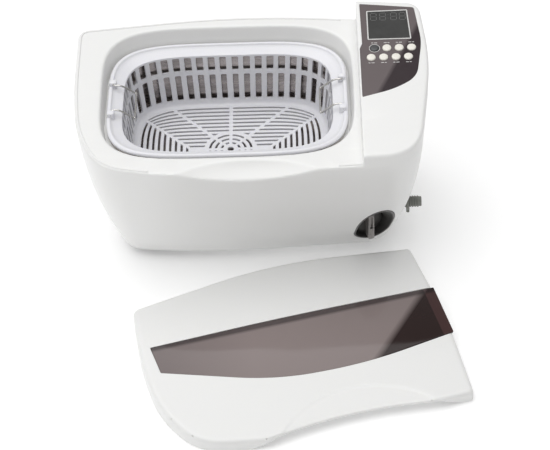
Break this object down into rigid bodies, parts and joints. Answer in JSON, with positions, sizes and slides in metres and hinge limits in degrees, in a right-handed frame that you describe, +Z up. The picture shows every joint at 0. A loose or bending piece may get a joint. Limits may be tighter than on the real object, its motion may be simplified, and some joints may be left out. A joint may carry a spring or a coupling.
{
  "type": "ultrasonic cleaner",
  "caption": "Bench-top ultrasonic cleaner: tapered white housing, steel tank, slotted hanging basket with wire handles, keypad pod, drain valve, and a loose lid with a smoked window.",
  "frame": {"origin": "centre of the footprint of the whole object, on the surface it stands on", "axes": "+X to the user's right, +Y from the user to the back, +Z up"},
  "size_m": [0.394, 0.4336, 0.2104],
  "materials": {
    "white_abs": "smooth satin moulding",
    "basket_plastic": "smooth moulding",
    "stainless": "drawn sheet",
    "bright_wire": "polished wire",
    "zinc_steel": "plated",
    "aluminium": "machined",
    "brass": "turned",
    "copper": "enamelled winding",
    "ceramic": "fired",
    "dark_acrylic": "glossy printed sheet",
    "clear_smoke": "smoked clear sheet",
    "ivory_key": "satin",
    "dark_key": "satin",
    "dark_plastic": "fine grain",
    "grey_plastic": "as moulded",
    "black_plastic": "as moulded",
    "black_rubber": "matt",
    "grey_silicone": "matt",
    "orange_silicone": "matt",
    "green_board": "coated laminate"
  },
  "bodies": {
    "housing": {"housing_shell": "white_abs", "base_plate": "white_abs", "foot_front_left": "black_rubber", "foot_back_left": "black_rubber", "foot_front_right": "black_rubber", "foot_back_right": "black_rubber", "base_screw_front_left": "zinc_steel", "base_screw_back_left": "zinc_steel", "base_screw_front_right": "zinc_steel", "base_screw_back_right": "zinc_steel", "tank": "stainless", "tank_gasket": "grey_silicone", "panel_overlay": "dark_acrylic", "display_window": "clear_smoke", "control_board": "green_board", "display_module": "black_plastic", "valve_cup": "dark_plastic", "valve_body": "grey_plastic", "drain_hose": "black_rubber", "drain_fitting": "grey_plastic", "outlet_pipe": "grey_plastic", "hose_barb": "grey_plastic", "transducer_horn_left": "aluminium", "transducer_piezo_left": "ceramic", "transducer_back_mass_left": "zinc_steel", "transducer_horn_right": "aluminium", "transducer_piezo_right": "ceramic", "transducer_back_mass_right": "zinc_steel", "heater_pad": "orange_silicone", "temperature_sensor": "zinc_steel", "driver_board": "green_board", "standoff_1": "brass", "standoff_2": "brass", "standoff_3": "brass", "standoff_4": "brass", "output_coil": "copper", "transformer": "black_plastic", "filter_capacitor": "black_plastic", "heat_sink": "aluminium", "fan_frame": "black_plastic", "power_inlet": "black_plastic"},
    "basket_body": {"basket": "basket_plastic"},
    "left_handle": {"handle_left": "bright_wire"},
    "right_handle": {"handle_right": "bright_wire"},
    "lid": {"lid_shell": "white_abs", "lid_window": "clear_smoke"},
    "valve": {"valve_knob": "dark_plastic", "valve_stem": "zinc_steel"},
    "fan": {"fan_rotor": "black_plastic"},
    "key_upper_1_body": {"key_upper_1": "dark_key"},
    "key_upper_2_body": {"key_upper_2": "ivory_key"},
    "key_upper_3_body": {"key_upper_3": "ivory_key"},
    "key_upper_4_body": {"key_upper_4": "ivory_key"},
    "key_lower_1_body": {"key_lower_1": "ivory_key"},
    "key_lower_2_body": {"key_lower_2": "ivory_key"},
    "key_lower_3_body": {"key_lower_3": "ivory_key"},
    "key_lower_4_body": {"key_lower_4": "ivory_key"}
  },
  "joints": [
    {"name": "basket_lift", "type": "slide", "parent": "housing", "child": "basket_body", "axis": [0, 0, 1], "range_m": [0, 0.16]},
    {"name": "handle_left_swing", "type": "hinge", "parent": "basket_body", "child": "left_handle", "pos_m": [-0.15483, 0.10618, 0.1742], "axis": [0, -1, 0], "range_deg": [0, 115]},
    {"name": "handle_right_swing", "type": "hinge", "parent": "basket_body", "child": "right_handle", "pos_m": [0.07917, 0.10618, 0.1742], "axis": [0, 1, 0], "range_deg": [0, 115]},
    {"name": "lid_lift", "type": "slide", "parent": "housing", "child": "lid", "axis": [0, -0.5, 0.866], "range_m": [0, 0.25]},
    {"name": "drain_valve_turn", "type": "hinge", "parent": "housing", "child": "valve", "pos_m": [0.10537, 0.04518, 0.042], "axis": [0.309, -0.9511, 0], "range_deg": [0, 90]},
    {"name": "fan_spin", "type": "hinge", "parent": "housing", "child": "fan", "pos_m": [0.07017, 0.15018, 0.018], "axis": [0, 0, 1], "continuous": true},
    {"name": "key_upper_1_press", "type": "slide", "parent": "housing", "child": "key_upper_1_body", "axis": [0, 0.1325, -0.9912], "range_m": [0, 0.001], "stiffness_N_per_m": 200, "springref_m": -0.0005},
    {"name": "key_upper_2_press", "type": "slide", "parent": "housing", "child": "key_upper_2_body", "axis": [0, 0.1325, -0.9912], "range_m": [0, 0.001], "stiffness_N_per_m": 200, "springref_m": -0.0005},
    {"name": "key_upper_3_press", "type": "slide", "parent": "housing", "child": "key_upper_3_body", "axis": [0, 0.1325, -0.9912], "range_m": [0, 0.001], "stiffness_N_per_m": 200, "springref_m": -0.0005},
    {"name": "key_upper_4_press", "type": "slide", "parent": "housing", "child": "key_upper_4_body", "axis": [0, 0.1325, -0.9912], "range_m": [0, 0.001], "stiffness_N_per_m": 200, "springref_m": -0.0005},
    {"name": "key_lower_1_press", "type": "slide", "parent": "housing", "child": "key_lower_1_body", "axis": [0, 0.1325, -0.9912], "range_m": [0, 0.001], "stiffness_N_per_m": 200, "springref_m": -0.0005},
    {"name": "key_lower_2_press", "type": "slide", "parent": "housing", "child": "key_lower_2_body", "axis": [0, 0.1325, -0.9912], "range_m": [0, 0.001], "stiffness_N_per_m": 200, "springref_m": -0.0005},
    {"name": "key_lower_3_press", "type": "slide", "parent": "housing", "child": "key_lower_3_body", "axis": [0, 0.1325, -0.9912], "range_m": [0, 0.001], "stiffness_N_per_m": 200, "springref_m": -0.0005},
    {"name": "key_lower_4_press", "type": "slide", "parent": "housing", "child": "key_lower_4_body", "axis": [0, 0.1325, -0.9912], "range_m": [0, 0.001], "stiffness_N_per_m": 200, "springref_m": -0.0005}
  ]
}
